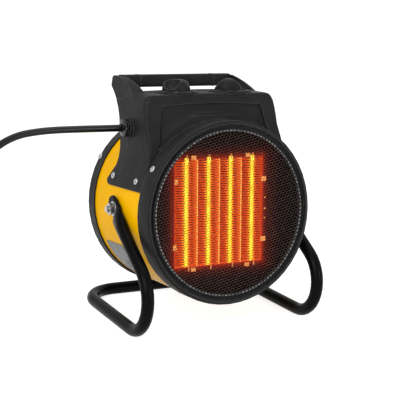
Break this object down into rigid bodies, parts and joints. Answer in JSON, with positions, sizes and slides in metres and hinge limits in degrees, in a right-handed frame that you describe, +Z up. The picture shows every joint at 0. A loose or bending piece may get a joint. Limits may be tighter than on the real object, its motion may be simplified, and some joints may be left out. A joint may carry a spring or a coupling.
{
  "type": "fan heater",
  "caption": "Round industrial fan heater: short cylindrical drum with meshed outlet, control saddle with two dials and bar handle, tilting on a bent tube floor stand.",
  "frame": {"origin": "on the floor under the middle of the stand", "axes": "+Z up, the hot air leaves towards -Y, +X to the right of someone behind the heater"},
  "size_m": [0.5791, 0.2096, 0.2922],
  "materials": {
    "yellow_paint": "satin powder coat",
    "black_plastic": "fine grained moulding",
    "tube_black": "satin powder coat",
    "zinc": "bright zinc plate",
    "net_steel": "heat-darkened wire",
    "hot_plate": "sheet lit red by the element",
    "hot_aluminium": "folded foil fins that glow",
    "hot_bar": "glowing heater bar",
    "fan_plastic": "moulded",
    "bare_steel": "plain",
    "cord_rubber": "smooth mains lead sheath",
    "tie_strap": "flexible strap"
  },
  "bodies": {
    "stand": {"stand_tube": "tube_black", "cord_coil": "cord_rubber", "coil_tie": "tie_strap", "plug": "cord_rubber", "cord": "cord_rubber"},
    "heater": {"pivot_washer_right": "zinc", "pivot_nut_right": "zinc", "pivot_bolt_right": "zinc", "pivot_spacer_right": "black_plastic", "pivot_washer_left": "zinc", "pivot_nut_left": "zinc", "pivot_bolt_left": "zinc", "pivot_spacer_left": "black_plastic", "drum_shell": "yellow_paint", "front_bezel": "black_plastic", "rear_ring": "black_plastic", "rear_grille": "black_plastic", "control_housing": "black_plastic", "handle_grip": "black_plastic", "gland_body": "black_plastic", "gland_nut": "black_plastic", "front_grille": "net_steel", "baffle_plate": "hot_plate", "element_frame": "hot_aluminium", "fin_column_1": "hot_aluminium", "fin_column_2": "hot_aluminium", "fin_column_3": "hot_aluminium", "fin_column_4": "hot_aluminium", "fin_column_5": "hot_aluminium", "fin_column_6": "hot_aluminium", "fin_column_7": "hot_aluminium", "fin_column_8": "hot_aluminium", "divider_1": "hot_aluminium", "divider_2": "hot_aluminium", "divider_3": "hot_aluminium", "ptc_bar_1": "hot_bar", "ptc_bar_2": "hot_bar", "ptc_bar_3": "hot_bar", "ptc_bar_4": "hot_bar", "fan_motor": "bare_steel", "motor_bracket": "bare_steel", "mode_dial": "black_plastic", "mode_body": "bare_steel", "thermostat_dial": "black_plastic", "thermostat_body": "bare_steel"},
    "rotor": {"fan_rotor": "fan_plastic", "motor_shaft": "bare_steel"},
    "mode_control": {"mode_knob": "black_plastic", "mode_shaft": "bare_steel"},
    "thermostat_control": {"thermostat_knob": "black_plastic", "thermostat_shaft": "bare_steel"}
  },
  "joints": [
    {"name": "tilt", "type": "hinge", "parent": "stand", "child": "heater", "pos_m": [0, 0.00912, 0.1371], "axis": [1, 0, 0], "range_deg": [-18, 12], "deforming": ["cord"]},
    {"name": "fan_spin", "type": "hinge", "parent": "heater", "child": "rotor", "pos_m": [0, 0.02679, 0.1337], "axis": [0, 0.996, -0.0898], "continuous": true},
    {"name": "mode_turn", "type": "hinge", "parent": "heater", "child": "mode_control", "pos_m": [-0.0362, 0.00798, 0.27596], "axis": [0, 0.0898, 0.996], "range_deg": [-90, 90]},
    {"name": "thermostat_turn", "type": "hinge", "parent": "heater", "child": "thermostat_control", "pos_m": [0.0362, 0.00798, 0.27596], "axis": [0, 0.0898, 0.996], "range_deg": [-135, 135]}
  ]
}
